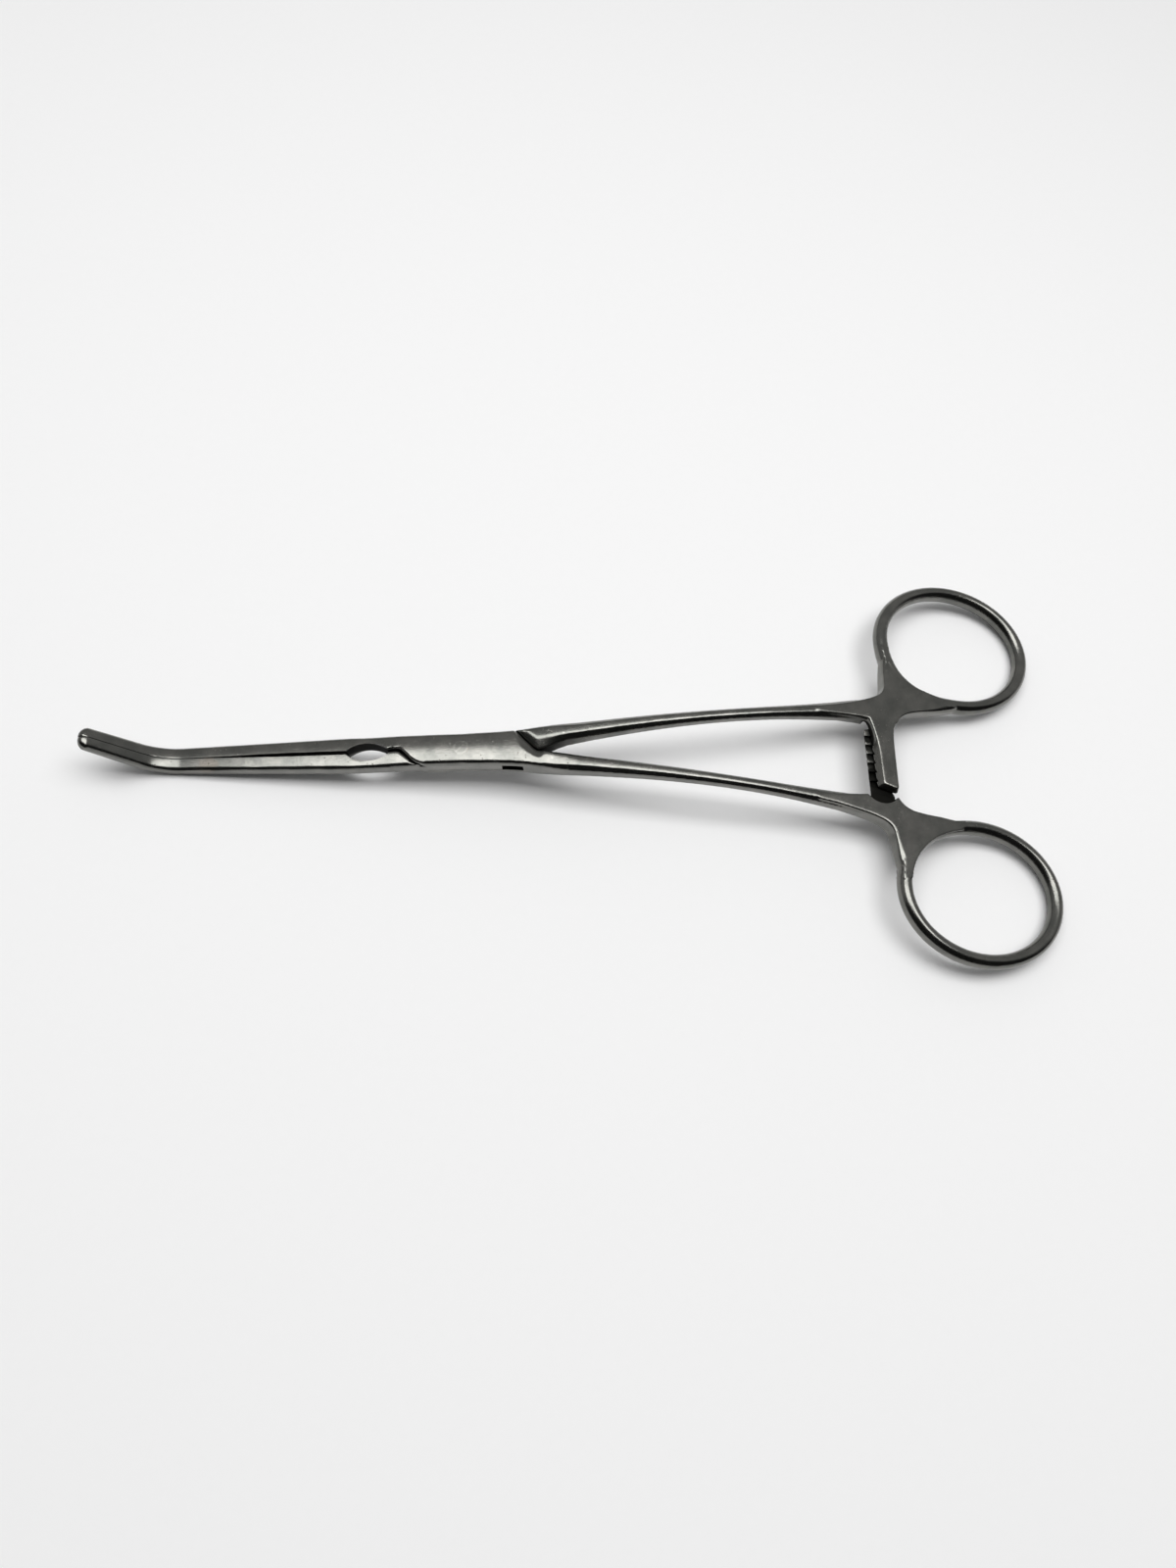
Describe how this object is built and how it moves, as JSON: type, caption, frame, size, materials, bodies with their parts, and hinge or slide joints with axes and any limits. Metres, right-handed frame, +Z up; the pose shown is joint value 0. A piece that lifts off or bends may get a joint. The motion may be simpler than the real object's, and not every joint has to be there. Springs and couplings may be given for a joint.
{
  "type": "vascular clamp",
  "caption": "Ring-handled vascular clamp with curved shanks, box lock, ratchet arms and closed jaws whose tips angle upward",
  "frame": {"origin": "On the surface that the clamp rests on, under the middle of its bounding box. The lock pin crosses the lock's middle at x = -0.0221, y = 0, z = 0.0068 m.", "axes": "+X from the jaws to the finger rings, +Y to the tongue half's ring, +Z up. The tips of the jaws rise to +Z and the shanks curve down to the rings. The hinge axis leans 6.5 degrees from +Z towards -X because the clamp rests on the heel of its jaws and the ends of its rings."},
  "size_m": [0.1697, 0.0748, 0.0118],
  "materials": {
    "steel": "satin, worn, with fine pits and faint stains",
    "pin_steel": "satin, ground flush with the lock"
  },
  "bodies": {
    "box_body": {"box_half": "steel", "lock_pin": "pin_steel"},
    "tongue_body": {"tongue_half": "steel"}
  },
  "joints": [
    {"name": "lock_hinge", "type": "hinge", "parent": "box_body", "child": "tongue_body", "pos_m": [-0.02209, 0, 0.00679], "axis": [-0.1136, 0, 0.9935], "range_deg": [0, 60]}
  ]
}
